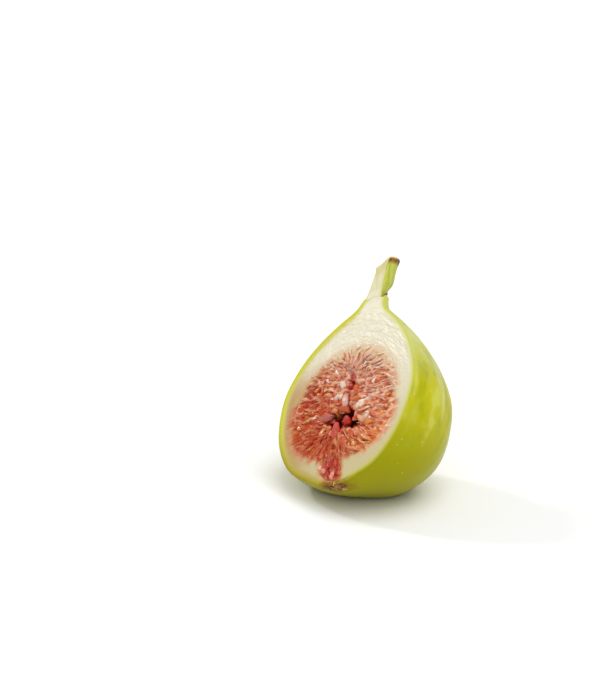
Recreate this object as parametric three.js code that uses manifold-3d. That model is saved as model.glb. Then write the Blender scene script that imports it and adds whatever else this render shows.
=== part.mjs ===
// One half of a green fig, cut lengthwise and standing on its round base.
// Millimetres. In the fruit's own frame Z runs from the eye, at 0, up to the stem, the cut face
// lies in the plane Y = 0 and the fruit behind it, at Y > 0. The half then leans back and rolls.

import * as THREE from 'three';
import { mergeVertices } from 'three/addons/utils/BufferGeometryUtils.js';
import Module from 'manifold-3d';

// Pose on the table
const LEAN = THREE.MathUtils.degToRad(35);      // the cut face looks this far up
const ROLL = THREE.MathUtils.degToRad(-24);     // the stem tips this far to the left
const FLOOR = -8.4;                             // height of the table below the eye

// The fruit: radius and height from the eye to the collar of the stem
const OUTLINE = [
  [0, 0], [5, 0.6], [10, 2.5], [16.1, 5.4], [20.6, 10], [24, 16.5], [25.6, 24.5],
  [25.1, 32], [21.5, 40], [16.7, 46], [10.8, 51], [5.8, 54.6], [4.1, 58],
];
const COLLAR = 58;                              // height of the collar above the eye
const BOW = 2.5;                                // how far the middle bulges to the left
const OFF_AXIS = 0.38;                          // the cut misses the axis by this share of the radius
const DEPTH_RATIO = 0.91;                       // front to back, against side to side
const HEART = new THREE.Vector3(-2.8, 10, 25);  // the fruit settles on the table away from here
const SETTLE_BLEND = 0.05;
const RIBS = 9;                                 // faint ribs round the half
const RIB_HEIGHT = 0.18;

// Layers, as the cut shows them
const PEEL = 1.2;
const GAP = 0.3;                                // clearance between neighbouring pieces
const REACH = 3;                                // how far a cutter runs past what it cuts
const PROUD = 0.8;                              // the florets stand out of the cut face at most this far
const SKIM = 0.1;                               // keeps two walls from lying in one place
const SKIN_GRID = [24, 32];                     // rows and columns of the skin's mesh,
const LAYER_GRID = [14, 20];                    // and of the meshes of the walls inside it

// The pulp's outline on the cut face, an egg: from its widest place it runs rise up and fall down
const PULP = { x: -2.3, z: 22.5, halfWidth: 20, rise: 20.3, fall: 14.5, depth: 23.5, squareness: 2.25 };
const PULP_COLUMNS = 30;
const PULP_ROWS = 6;
const GROUND_RINGS = [1, 0.9, 0.7, 0.35];       // shares of the outline at which the ground has points
const GROUND_RIM = 0.12;                        // the pulp's ground lies this deep at its edge,
const GROUND_SINK = 0.8;                        // this deep inside it,
const GROUND_DISH = 0.8;                        // and this much deeper round the hollow
const HOLLOW = { x: -1.4, y: 3.2, z: 20.4, length: 10.5, width: 4.6, depth: 7, tilt: 0.18 };
const HOLLOW_WAVES = [                          // height, waves across, waves along, phase
  [0.16, 5, 2, 0], [0.12, -3, 7, 1],
];
const SEAM = { low: [-1.6, 18], high: [-1, 34] };    // the florets point at this line
const DRUPELET = { x: -0.4, y: 3.3, z: 20.2, radius: 1.9 };

// Rings of florets: share of the way from the seam to the outline, their size, and how far they
// rise above the ground
const FLORET_RINGS = [
  { at: 0.87, length: 3.9, width: 1.4, rise: 0.8 },
  { at: 0.68, length: 3.8, width: 1.5, rise: 1.0 },
  { at: 0.50, length: 3.6, width: 1.5, rise: 1.1 },
  { at: 0.33, length: 3.2, width: 1.6, rise: 1.2 },
  { at: 0.16, length: 2.8, width: 1.6, rise: 1.2 },
  { at: 0.02, length: 2.5, width: 1.6, rise: 1.2 },
];
const FLORET_PITCH = 2.15;                      // from floret to floret along a ring
const FLORET_TILT = -0.1;                       // their tips point this much out of the cut
// How far a floret strays: along its ring, across it, sideways, out of the cut, in length, in
// width, in depth and about itself
const STRAY = {
  along: 0.12, across: 0.03, aside: 0.14, tilt: 0.06, length: 0.14, width: 0.12, depth: 0.12, twist: 0.35,
};
const DETAIL = 0.03;                            // smaller steps than this are left out of the pulp

// The channel from the pulp down to the eye: height, middle, half-width and depth
const CHANNEL = [
  [12, -1.6, 2.9, 4.2], [7.5, -2.2, 3.9, 3.6], [4.2, -1.5, 4.3, 3.0], [1.4, 0.3, 2.3, 2.4],
];
const CHANNEL_SINK = 0.4;
const CHANNEL_END = 1.7;                        // the pulp stops here, above the eye's scales
const CHANNEL_SIDES = 10;
const TUFTS = { rows: 3, high: 12.5, low: 5, length: 3.3, width: 1.4, rise: 0.9, reach: 3, stray: 0.8 };
const TUFT_PLACES = [-0.8, -0.4, 0, 0.4, 0.8];  // as shares of the channel's half-width

// The eye: a plug, and rows of short blades round it
const EYE = { x: 0.9, z: 0.35, radius: 2.6, thickness: 1.5, plug: 0.5, sides: 18 };
const EYE_OPENING = { depth: 6, z: -0.8 };
const EYE_BLADES = [{ count: 7, reach: 2.4, height: 0 }, { count: 4, reach: 1.5, height: -0.3 }];
const EYE_BLADE = { width: 1.4, rise: 0.4, tilt: 0.12, stray: 0.1, turn: 0.15 };

// The stem: height, middle of its section, and radius
const STEM = [
  [58.3, -0.9, 0.35, 3.1], [59.3, -0.75, 0.5, 2.75], [61, -0.65, 1.0, 2.7],
  [63.5, -0.4, 2.0, 2.95], [66.5, 0, 2.2, 2.9], [69, 0.4, 2.2, 2.85],
];
const STEM_GRID = [10, 16];
const STEM_END_SLOPE = 1.5;                     // the snapped end rises this much either way,
const STEM_END_TURN = 0.6;                      // over this many times its own width,
const STEM_END_FLARE = 0.12;                    // and widens by this share
const STEM_END_FROM = 0.86;                     // from here on

// The scales of the collar: a band with pointed lobes
const SCALES = {
  columns: 24, band: 0.7, low: 0.7, lobe: 1.3, lean: 0.35, lobes: 3, phase: 0.42, sharpness: 3,
};

const random = seededRandom(7);
const wasm = await Module();
wasm.setup();

// A small repeatable random number between 0 and 1
function seededRandom(seed) {
  let state = seed;
  return () => {
    state = (state * 1664525 + 1013904223) % 4294967296;
    return state / 4294967296;
  };
}

function spread(amount) {
  return (random() * 2 - 1) * amount;
}

function smoothMin(a, b, blend) {
  const near = Math.max(blend - Math.abs(a - b), 0) / blend;
  return Math.min(a, b) - near * near * blend / 4;
}

// Direction of the world's up in the fruit's own frame
const pose = new THREE.Matrix4().makeRotationFromEuler(new THREE.Euler(-LEAN, ROLL, 0));
const up = new THREE.Vector3(0, 0, 1).applyMatrix4(pose.clone().transpose());

// Flattens what would sink into the table, along rays from the fruit's heart
function settle(point, depth) {
  const room = HEART.dot(up) - (FLOOR + depth);
  const ray = point.clone().sub(HEART);
  const down = -ray.dot(up);
  if (down <= 0) return point;
  return HEART.clone().addScaledVector(ray, smoothMin(1, room / down, SETTLE_BLEND));
}

// The fruit's profile, at a share of the way from the eye to the collar, moved inwards by depth
const outline = new THREE.SplineCurve(OUTLINE.map(([r, z]) => new THREE.Vector2(r, z)));

function profile(share, depth) {
  const at = outline.getPoint(share);
  const along = outline.getPoint(Math.min(share + 0.001, 1))
    .sub(outline.getPoint(Math.max(share - 0.001, 0))).normalize();
  const height = THREE.MathUtils.clamp(at.y / COLLAR, 0, 1);
  return { radius: Math.max(at.x - depth * along.y, 0), z: at.y + depth * along.x, height };
}

// A point of the skin, or of a layer depth below it. around runs from 0, the right-hand edge of
// the cut, round the back to 1, its left-hand edge.
function fruitPoint(share, around, depth) {
  const { radius, z, height } = profile(share, depth);
  const offAxis = OFF_AXIS * Math.sqrt(1 - height);
  const start = Math.asin(offAxis);
  const angle = -start + (Math.PI + 2 * start) * around;
  const girth = Math.sin(Math.PI * height);
  const rib = RIB_HEIGHT * girth * Math.cos(2 * Math.PI * RIBS * around) * Math.sin(Math.PI * around);
  const wide = radius > 0 ? (radius + rib) / Math.cos(start) : 0;
  const middle = -BOW * Math.pow(4 * height * (1 - height), 0.6);
  const x = middle + wide * Math.cos(angle);
  const y = DEPTH_RATIO * wide * (Math.sin(angle) + offAxis);
  return settle(new THREE.Vector3(x, y, z), depth);
}

// Closed body from rings of points: the first and last ring are closed by a fan
function loft(rings) {
  const columns = rings[0].length;
  const positions = rings.flat().flatMap((p) => [p.x, p.y, p.z]);
  const index = [];
  for (let row = 0; row < rings.length - 1; row++) {
    for (let column = 0; column < columns; column++) {
      const next = (column + 1) % columns;
      const a = row * columns + column;
      const b = row * columns + next;
      index.push(a, b, b + columns, a, b + columns, a + columns);
    }
  }
  const last = (rings.length - 1) * columns;
  for (let column = 1; column < columns - 1; column++) {
    index.push(0, column + 1, column);
    index.push(last, last + column, last + column + 1);
  }
  return closedGeometry(positions, index);
}

// Welds the points that coincide and drops the triangles that this leaves without area
function closedGeometry(positions, index) {
  const geometry = new THREE.BufferGeometry();
  geometry.setAttribute('position', new THREE.Float32BufferAttribute(positions, 3));
  geometry.setIndex(index);
  const merged = mergeVertices(geometry, 1e-4);
  const kept = [];
  for (let i = 0; i < merged.index.count; i += 3) {
    const [a, b, c] = [merged.index.getX(i), merged.index.getX(i + 1), merged.index.getX(i + 2)];
    if (a !== b && b !== c && c !== a) kept.push(a, b, c);
  }
  merged.setIndex(kept);
  return merged;
}

function solid(geometry) {
  const mesh = new wasm.Mesh({
    numProp: 3,
    vertProperties: new Float32Array(geometry.attributes.position.array),
    triVerts: new Uint32Array(geometry.index.array),
  });
  return new wasm.Manifold(mesh);
}

function geometryOf(body) {
  const mesh = body.getMesh();
  const geometry = new THREE.BufferGeometry();
  geometry.setAttribute('position', new THREE.BufferAttribute(mesh.vertProperties, 3));
  geometry.setIndex(new THREE.BufferAttribute(mesh.triVerts, 1));
  return geometry;
}

// The half fruit at a depth below the skin. front is how far it runs out of the cut face, and
// top how far above the collar.
function fruitBody(depth, rows, columns, front = 0, top = 0) {
  const rings = [];
  for (let row = 0; row <= rows; row++) {
    const ring = [];
    for (let column = 0; column <= columns; column++) {
      ring.push(fruitPoint(row / rows, column / columns, depth));
    }
    if (front > 0) ring.push(...frontCorners(ring, front));
    rings.push(ring);
  }
  if (top > 0) rings.push(rings.at(-1).map((p) => new THREE.Vector3(p.x, p.y, p.z + top)));
  return loft(rings);
}

function frontCorners(ring, front) {
  const left = ring.at(-1);
  const right = ring[0];
  return [new THREE.Vector3(left.x, -front, left.z), new THREE.Vector3(right.x, -front, right.z)];
}

// The pulp's outline on the cut face, as a distance from its middle in a direction
function pulpRadius(angle, grow = 0) {
  const { halfWidth, rise, fall, squareness } = PULP;
  const halfHeight = Math.sin(angle) > 0 ? rise : fall;
  const across = Math.abs(Math.cos(angle) / (halfWidth + grow)) ** squareness;
  const along = Math.abs(Math.sin(angle) / (halfHeight + grow)) ** squareness;
  return (across + along) ** (-1 / squareness);
}

// A ring of the pulp's outline, shrunk to a share and at a depth behind the cut face
function pulpRing(share, depthAt, grow = 0) {
  const ring = [];
  for (let column = 0; column < PULP_COLUMNS; column++) {
    const angle = 2 * Math.PI * column / PULP_COLUMNS;
    const radius = pulpRadius(angle, grow) * share;
    const x = PULP.x + radius * Math.cos(angle);
    const z = PULP.z + radius * Math.sin(angle);
    ring.push(new THREE.Vector3(x, depthAt(x, z), z));
  }
  return ring;
}

// The pulp's bowl behind the cut face, from its deepest point up to its edge at near
function pulpBowl(near, grow) {
  const rings = [];
  for (let row = 0; row <= PULP_ROWS; row++) {
    const tilt = Math.PI / 2 * (1 - row / PULP_ROWS);
    const depth = near + (PULP.depth + grow - near) * Math.sin(tilt);
    rings.push(pulpRing(row === 0 ? 0 : Math.cos(tilt), () => depth, grow));
  }
  return rings;
}

// The bowl run out through the cut face by reach: what the flesh makes room for
function pulpRoom(reach, grow) {
  return loft([...pulpBowl(0, grow), pulpRing(1, () => -reach, grow)]);
}

// The channel's body, a tapering trough that opens at the cut face
function channelBody(front, grow, low) {
  const rings = CHANNEL.map(([z, x, halfWidth, depth], index) => {
    const height = index === CHANNEL.length - 1 ? low : z;
    const nearest = Math.max(front, 0);
    const ring = [];
    for (let side = 0; side <= CHANNEL_SIDES; side++) {
      const angle = Math.PI * side / CHANNEL_SIDES;
      const y = nearest + (depth + grow - nearest) * Math.sin(angle);
      ring.push(new THREE.Vector3(x + (halfWidth + grow) * Math.cos(angle), y, height));
    }
    if (front < 0) ring.push(...frontCorners([ring[0], ring.at(-1)], -front));
    return ring;
  });
  return loft(rings.reverse());
}

// A three-sided drop lying along +X, its ridge up: its root at 0, its tip at length. It stands
// rise above its own middle line and is width wide there.
function drop(length, width, rise) {
  const rows = [[0, 0], [0.35, 0.8], [0.76, 1], [1, 0]];
  const rings = rows.map(([at, girth]) => [
    new THREE.Vector3(at * length, 0, girth * rise),
    new THREE.Vector3(at * length, -girth * width, -girth * rise),
    new THREE.Vector3(at * length, girth * width, -girth * rise),
  ]);
  return loft(rings);
}

// Moves a drop to a place, pointing along a direction, its broad side facing out of the cut
function placeDrop(geometry, root, direction, twist = 0) {
  const along = direction.clone().normalize();
  const out = new THREE.Vector3(0, -1, 0);
  out.addScaledVector(along, -out.dot(along)).normalize();
  const across = new THREE.Vector3().crossVectors(out, along);
  const turn = new THREE.Matrix4().makeBasis(along, across, out);
  turn.multiply(new THREE.Matrix4().makeRotationX(twist)).setPosition(root);
  return geometry.applyMatrix4(turn);
}

// How deep the ground of the pulp lies below the cut face, shallow at its edge
function pulpGround(x, z) {
  const across = x - PULP.x;
  const along = z - PULP.z;
  const share = Math.hypot(across, along) / pulpRadius(Math.atan2(along, across));
  const inward = THREE.MathUtils.smoothstep(1 - share, 0, 0.22);
  const fromHollow = Math.hypot((x - HOLLOW.x) / 8, (z - HOLLOW.z) / 6);
  return GROUND_RIM + GROUND_SINK * inward + GROUND_DISH * Math.exp(-fromHollow * fromHollow);
}

// The point of the seam that a floret on the outline, in this direction from the middle, points at
function outlineAndSeam(angle) {
  const edge = pulpRadius(angle);
  const outer = new THREE.Vector3(PULP.x + edge * Math.cos(angle), 0, PULP.z + edge * Math.sin(angle));
  const [lowX, lowZ] = SEAM.low;
  const [highX, highZ] = SEAM.high;
  const share = THREE.MathUtils.clamp((outer.z - lowZ) / (highZ - lowZ), 0, 1);
  const inner = new THREE.Vector3(
    THREE.MathUtils.lerp(lowX, highX, share), 0, THREE.MathUtils.lerp(lowZ, highZ, share));
  return { outer, inner };
}

// Directions from the pulp's middle that are evenly spaced along one ring of florets
function evenAngles(at) {
  const steps = 360;
  const lengths = [0];
  let last = null;
  for (let step = 0; step <= steps; step++) {
    const { outer, inner } = outlineAndSeam(2 * Math.PI * step / steps);
    const here = inner.lerp(outer, at);
    if (last) lengths.push(lengths.at(-1) + here.distanceTo(last));
    last = here;
  }
  const count = Math.round(lengths.at(-1) / FLORET_PITCH);
  const phase = random();
  return Array.from({ length: count }, (_, i) => {
    const wanted = (i + phase + spread(STRAY.along)) / (count + 1) * lengths.at(-1);
    const step = lengths.findIndex((length) => length >= wanted);
    return 2 * Math.PI * step / steps;
  });
}

// The florets of one ring, each with its root outwards and its tip towards the seam
function floretRing({ at, length, width, rise }) {
  return evenAngles(at).map((angle) => {
    const { outer, inner } = outlineAndSeam(angle);
    const place = inner.clone().lerp(outer, at + spread(STRAY.across));
    const along = inner.sub(outer).normalize();
    const aside = new THREE.Vector3(-along.z, 0, along.x);
    along.addScaledVector(aside, spread(STRAY.aside));
    along.y = FLORET_TILT + spread(STRAY.tilt);
    const size = length * (1 + spread(STRAY.length));
    place.y = pulpGround(place.x, place.z) + spread(STRAY.depth);
    place.addScaledVector(along, -size / 2);
    const shape = drop(size, width * (1 + spread(STRAY.width)), rise);
    return placeDrop(shape, place, along, spread(STRAY.twist));
  });
}

// The channel's middle and half-width at a height
function channelAt(z) {
  const row = CHANNEL.findIndex(([height]) => height <= z);
  const [highZ, highX, highWidth] = CHANNEL[Math.max(row - 1, 0)];
  const [lowZ, lowX, lowWidth] = CHANNEL[row < 0 ? CHANNEL.length - 1 : row];
  const share = THREE.MathUtils.clamp((highZ - z) / Math.max(highZ - lowZ, 0.01), 0, 1);
  return {
    x: THREE.MathUtils.lerp(highX, lowX, share),
    halfWidth: THREE.MathUtils.lerp(highWidth, lowWidth, share),
  };
}

// The red and pink scales of the channel, which point down to the eye
function channelTufts() {
  const { rows, high, low, length, width, rise, reach, stray } = TUFTS;
  const tufts = [];
  for (let row = 0; row < rows; row++) {
    const z = THREE.MathUtils.lerp(high, low, row / (rows - 1));
    const top = channelAt(z);
    const foot = channelAt(z - reach);
    for (const share of TUFT_PLACES) {
      const from = new THREE.Vector3(top.x + share * top.halfWidth, CHANNEL_SINK, z + spread(stray));
      const to = new THREE.Vector3(foot.x + share * foot.halfWidth, CHANNEL_SINK - GAP, z - reach);
      const tuft = drop(length, width, rise);
      tufts.push(placeDrop(tuft, from, to.sub(from), spread(STRAY.twist)));
    }
  }
  return tufts;
}

// The pulp's ground: the bowl closed by a dished face, and the channel, with the hollow cut out
function pulpCore() {
  const ground = GROUND_RINGS.map((share) => pulpRing(share, pulpGround, -SKIM));
  const middle = pulpRing(0, pulpGround);
  const bowl = loft([...pulpBowl(GROUND_RIM, -SKIM).slice(0, -1), ...ground, middle]);
  const channel = channelBody(CHANNEL_SINK, -SKIM, CHANNEL_END);
  return solid(bowl).add(solid(channel)).subtract(solid(hollowBody()));
}

function hollowBody() {
  const { x, y, z, length, width, depth, tilt } = HOLLOW;
  const geometry = new THREE.IcosahedronGeometry(1, 2);
  geometry.deleteAttribute('normal');
  geometry.deleteAttribute('uv');
  const blob = mergeVertices(geometry, 1e-4);
  const place = blob.attributes.position;
  const wave = (p) => HOLLOW_WAVES.reduce((sum, [size, across, along, phase]) => (
    sum + size * Math.sin(across * p.x + along * p.z + phase)), 1);
  for (let i = 0; i < place.count; i++) {
    const p = new THREE.Vector3().fromBufferAttribute(place, i);
    p.multiplyScalar(wave(p)).multiply(new THREE.Vector3(length / 2, depth / 2, width / 2));
    p.applyAxisAngle(new THREE.Vector3(0, 1, 0), tilt).add(new THREE.Vector3(x, y, z));
    place.setXYZ(i, p.x, p.y, p.z);
  }
  return blob;
}

function drupelet() {
  const { x, y, z, radius } = DRUPELET;
  return plain(new THREE.SphereGeometry(radius, 10, 7).translate(x, y, z));
}

// What the florets may fill: the pulp's outline and the channel, a little proud of the cut face
function pulpSpace() {
  return solid(pulpRoom(PROUD, 0)).add(solid(channelBody(-PROUD, 0, CHANNEL_END)));
}

// Keeps a body's outer shell, which fills any hollow that joining its pieces has sealed
function outerShell(geometry) {
  const index = geometry.index.array;
  const owner = Array.from({ length: geometry.attributes.position.count }, (_, i) => i);
  const root = (i) => {
    while (owner[i] !== i) i = owner[i] = owner[owner[i]];
    return i;
  };
  for (let i = 0; i < index.length; i += 3) {
    owner[root(index[i])] = root(index[i + 1]);
    owner[root(index[i + 1])] = root(index[i + 2]);
  }
  const shells = new Map();
  for (let i = 0; i < index.length; i += 3) {
    const key = root(index[i]);
    if (!shells.has(key)) shells.set(key, []);
    shells.get(key).push(index[i], index[i + 1], index[i + 2]);
  }
  const largest = [...shells.values()].reduce((a, b) => (b.length > a.length ? b : a));
  const kept = new THREE.BufferGeometry();
  kept.setAttribute('position', geometry.attributes.position);
  kept.setIndex(largest);
  return closedGeometry(...usedPoints(kept));
}

// A geometry's points and triangles, without the points that no triangle uses
function usedPoints(geometry) {
  const place = geometry.attributes.position;
  const renamed = new Map();
  const positions = [];
  const index = [...geometry.index.array].map((old) => {
    if (!renamed.has(old)) {
      renamed.set(old, renamed.size);
      positions.push(place.getX(old), place.getY(old), place.getZ(old));
    }
    return renamed.get(old);
  });
  return [positions, index];
}

function pulpBody() {
  const repeats = [...FLORET_RINGS.flatMap(floretRing), ...channelTufts(), drupelet()];
  const grown = repeats.reduce((body, piece) => body.add(solid(piece)), pulpCore());
  return outerShell(geometryOf(grown.intersect(pulpSpace()).simplify(DETAIL)));
}

// The opening of the eye through peel and flesh
function eyeOpening() {
  const radius = EYE.radius + GAP;
  const geometry = new THREE.CylinderGeometry(radius, radius, EYE_OPENING.depth, EYE.sides);
  return plain(geometry.rotateX(Math.PI / 2).translate(EYE.x, 0, EYE_OPENING.z));
}

// A three.js shape with its points welded and nothing but their places kept
function plain(geometry) {
  geometry.deleteAttribute('normal');
  geometry.deleteAttribute('uv');
  return closedGeometry([...geometry.attributes.position.array], [...geometry.index.array]);
}

// The dry scales that close the eye: a low plug with short blades that overlap round it
function eyeScales() {
  const { width, rise, tilt, stray, turn: spin } = EYE_BLADE;
  const plug = new THREE.SphereGeometry(1, EYE.sides, EYE.sides / 3);
  plug.scale(EYE.radius, EYE.radius, EYE.thickness / 2).translate(EYE.x, 0, EYE.z + EYE.plug);
  let body = solid(plain(plug));
  for (const { count, reach, height } of EYE_BLADES) {
    for (let i = 0; i < count; i++) {
      const angle = Math.PI * (i + 0.5) / count + spread(spin);
      const out = new THREE.Vector3(Math.cos(angle), Math.sin(angle), 0);
      const down = new THREE.Vector3(0, 0, -1);
      const blade = drop(reach, width, rise).rotateY(tilt + spread(stray));
      const side = new THREE.Vector3().crossVectors(down, out);
      const turn = new THREE.Matrix4().makeBasis(out, side, down);
      turn.setPosition(new THREE.Vector3(EYE.x, 0, EYE.z + height));
      body = body.add(solid(blade.applyMatrix4(turn)));
    }
  }
  const behind = plain(new THREE.BoxGeometry(20, 10, 20).translate(0, 5, 0));
  return body.intersect(solid(behind));
}

// The stem's section at a share of its length, from points round its back
const stemPath = new THREE.CatmullRomCurve3(STEM.map(([z, x, y]) => new THREE.Vector3(x, y, z)));
const stemGirth = new THREE.SplineCurve(STEM.map(([z, , , r], i) => new THREE.Vector2(i, r)));

function stemRing(share, columns, grow = 0) {
  const middle = stemPath.getPoint(share);
  const flare = 1 + STEM_END_FLARE * Math.max(share - STEM_END_FROM, 0) / (1 - STEM_END_FROM);
  const radius = stemGirth.getPoint(share).y * flare + grow;
  const start = Math.asin(Math.min(middle.y / radius, 1));
  const ring = [];
  for (let column = 0; column <= columns; column++) {
    const angle = -start + (Math.PI + 2 * start) * column / columns;
    const x = middle.x + radius * Math.cos(angle);
    const y = Math.max(middle.y + radius * Math.sin(angle), 0);
    const z = middle.z + share * share * STEM_END_SLOPE * Math.tanh(STEM_END_TURN * x);
    ring.push(new THREE.Vector3(x, y, z));
  }
  return ring;
}

function stemBody() {
  const [rows, columns] = STEM_GRID;
  const rings = [];
  for (let row = 0; row <= rows; row++) rings.push(stemRing(row / rows, columns));
  return loft(rings);
}

// The dry scales of the collar: a low band round the foot of the stem with three pointed lobes
function collarScales() {
  const { columns, band } = SCALES;
  const columnsOfPoints = [];
  for (let column = 0; column <= columns; column++) {
    const around = column / columns;
    const foot = stemRing(0, columns, GAP)[column];
    const middle = new THREE.Vector3(STEM[0][1], STEM[0][2], 0);
    const out = new THREE.Vector3(foot.x - middle.x, foot.y - middle.y, 0).normalize();
    if (column === 0 || column === columns) out.y = 0;
    const wave = Math.cos(Math.PI * (SCALES.lobes * around - SCALES.phase));
    const lobe = Math.abs(wave) ** SCALES.sharpness;
    const height = SCALES.low + SCALES.lobe * lobe;
    const lean = SCALES.lean * lobe;
    const inner = foot.clone().setZ(COLLAR + GAP);
    const corners = [
      inner,
      inner.clone().addScaledVector(out, band),
      inner.clone().addScaledVector(out, band + lean).add(new THREE.Vector3(0, 0, height)),
      inner.clone().addScaledVector(out, lean).add(new THREE.Vector3(0, 0, height)),
    ];
    columnsOfPoints.push(corners);
  }
  return loft(columnsOfPoints.reverse());
}

const colours = {
  peel: ['#9aa83a', 0.5],
  flesh: ['#e6dcc0', 0.6],
  pulp: ['#b8452f', 0.35],
  stem: ['#9fa83c', 0.55],
  collar_scales: ['#7a5a24', 0.8],
  eye_scales: ['#6b4a22', 0.8],
};

function piece(name, geometry) {
  const [color, roughness] = colours[name];
  const material = new THREE.MeshStandardMaterial({ color, roughness, metalness: 0 });
  const mesh = new THREE.Mesh(geometry, material);
  mesh.name = name;
  return mesh;
}

const peel = solid(fruitBody(0, ...SKIN_GRID))
  .subtract(solid(fruitBody(PEEL, ...LAYER_GRID, REACH, REACH)))
  .subtract(solid(eyeOpening()));
const flesh = solid(fruitBody(PEEL + GAP, ...LAYER_GRID))
  .subtract(solid(pulpRoom(REACH, GAP)))
  .subtract(solid(channelBody(-REACH, GAP, -REACH)))
  .subtract(solid(eyeOpening()));

const half = new THREE.Group();
half.rotation.set(-LEAN, ROLL, 0);
half.add(
  piece('peel', geometryOf(peel)),
  piece('flesh', geometryOf(flesh)),
  piece('pulp', pulpBody()),
  piece('stem', stemBody()),
  piece('collar_scales', collarScales()),
  piece('eye_scales', geometryOf(eyeScales())),
);

// Stands the half on the table, with the middle of its bounds above the origin
const fig = new THREE.Group();
fig.add(half);
fig.updateMatrixWorld(true);
const bounds = new THREE.Box3().setFromObject(fig, true);
const middle = bounds.getCenter(new THREE.Vector3());
half.position.set(-middle.x, -middle.y, -bounds.min.z);

export default fig;
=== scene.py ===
import math
import random

import bpy
from mathutils import Matrix, Vector


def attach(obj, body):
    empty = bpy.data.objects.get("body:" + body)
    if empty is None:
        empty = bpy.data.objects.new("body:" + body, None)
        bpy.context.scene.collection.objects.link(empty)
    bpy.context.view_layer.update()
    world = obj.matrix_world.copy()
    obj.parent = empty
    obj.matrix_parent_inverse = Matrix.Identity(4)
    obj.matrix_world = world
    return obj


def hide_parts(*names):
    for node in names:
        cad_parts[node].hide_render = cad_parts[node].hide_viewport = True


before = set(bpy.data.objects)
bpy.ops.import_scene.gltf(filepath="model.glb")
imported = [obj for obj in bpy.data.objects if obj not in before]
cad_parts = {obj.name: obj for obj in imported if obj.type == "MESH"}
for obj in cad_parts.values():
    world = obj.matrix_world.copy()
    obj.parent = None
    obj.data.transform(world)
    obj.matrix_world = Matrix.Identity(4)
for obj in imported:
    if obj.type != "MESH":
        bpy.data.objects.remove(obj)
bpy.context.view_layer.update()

# Peel. The thin green skin, which is one with the flesh, and whose edge the knife has left as a
# bright line. It is a closed shell turned about the fruit's axis from its outline, bowed to one
# side, faintly ribbed, and flattened where the soft fruit rests on the table.

# The fruit's own frame is in millimetres: Z runs from the eye, at 0, up to the stem, the cut face
# lies in the plane Y = 0, and the fruit is behind it. STAND leans the half back and rolls it.
LEAN = math.radians(35)
ROLL = math.radians(-24)
TURN = Matrix.Rotation(-LEAN, 4, "X") @ Matrix.Rotation(ROLL, 4, "Y")
EYE_AT = Vector((0.012164, -0.020137, 0.0084))
STAND = Matrix.Translation(EYE_AT) @ TURN @ Matrix.Scale(0.001, 4)
UP = TURN.to_3x3().transposed() @ Vector((0, 0, 1))

OUTLINE = [
    # how far from the axis, how high
    (0, 0), (5, 0.6), (10, 2.5), (16.1, 5.4), (20.6, 10), (24, 16.5), (25.6, 24.5),
    (25.1, 32), (21.5, 40), (16.7, 46), (10.8, 51), (5.8, 54.6), (4.1, 58),
]
COLLAR = 58
BOW = 2.5
OFF_AXIS = 0.38
DEPTH_RATIO = 0.91
HEART = Vector((-2.8, 10, 25))
TABLE = -8.4
SETTLE_BLEND = 0.07
RIBS = 9
RIB_HEIGHT = 0.18
PEEL = 1.2
ROWS = 120
ROUND = 110
LINE_STEPS = 16
WELD = 0.002
SHARP = math.radians(50)


def paint(red, green, blue):
    """A paint's colour, from the 0 to 255 that a screen shows it with."""
    parts = [part / 255 for part in (red, green, blue)]
    parts = [part / 12.92 if part <= 0.04045 else ((part + 0.055) / 1.055) ** 2.4 for part in parts]
    return (*parts, 1.0)


class Wire:
    """One output of a node tree. Sums on it add Math nodes, or Vector Math nodes on a vector."""

    def __init__(self, tree, socket=None):
        self.tree = tree
        self.socket = socket

    def node(self, kind, settings=None, sockets=None, output=0):
        """Adds a node: its settings first, then the values or links of its sockets."""
        made = self.tree.nodes.new(kind)
        for name, value in (settings or {}).items():
            setattr(made, name, value)
        for name, value in (sockets or {}).items():
            entry = made.inputs[name]
            if isinstance(value, Wire):
                self.tree.links.new(value.socket, entry)
            else:
                entry.default_value = value
        return Wire(self.tree, made.outputs[output]) if made.outputs else None

    def output(self, name):
        """Another output of the same node."""
        return Wire(self.tree, self.socket.node.outputs[name])

    def math(self, operation, *others):
        return self.node("ShaderNodeMath", {"operation": operation}, dict(enumerate((self, *others))))

    def vector(self, operation, *others):
        sockets = dict(enumerate((self, *others)))
        return self.node("ShaderNodeVectorMath", {"operation": operation}, sockets)

    def is_vector(self):
        return self.socket.type in ("VECTOR", "RGBA")

    def either(self, operation, other):
        return self.vector(operation, other) if self.is_vector() else self.math(operation, other)

    def __add__(self, other):
        return self.either("ADD", other)

    __radd__ = __add__

    def __sub__(self, other):
        return self.either("SUBTRACT", other)

    def __rsub__(self, other):
        return self * -1 + other

    def __mul__(self, other):
        if not self.is_vector():
            return self.math("MULTIPLY", other)
        return self.node("ShaderNodeVectorMath", {"operation": "SCALE"}, {0: self, "Scale": other})

    __rmul__ = __mul__

    def __truediv__(self, other):
        return self.math("DIVIDE", other)

    def __rtruediv__(self, other):
        return self.math("POWER", -1.0) * other

    def __pow__(self, other):
        return self.math("POWER", other)

    def dot(self, other):
        return self.vector("DOT_PRODUCT", other).output("Value")

    def length(self):
        return self.vector("LENGTH").output("Value")

    def parts(self):
        split = self.node("ShaderNodeSeparateXYZ", None, {0: self}, "X")
        return split, split.output("Y"), split.output("Z")

    def ramp(self, low, high, kind="SMOOTHSTEP"):
        """0 where the value is at low, 1 where it is at high."""
        sockets = {"Value": self, "From Min": low, "From Max": high}
        return self.node("ShaderNodeMapRange", {"interpolation_type": kind}, sockets)

    def between(self, low, high):
        """The colour low where the value is 0, and high where it is 1: wires, or paints."""
        low, high = (paint(*colour) if isinstance(colour, tuple) else colour for colour in (low, high))
        return self.node("ShaderNodeMix", {"data_type": "RGBA"}, {0: self, 6: low, 7: high}, 2)


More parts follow.
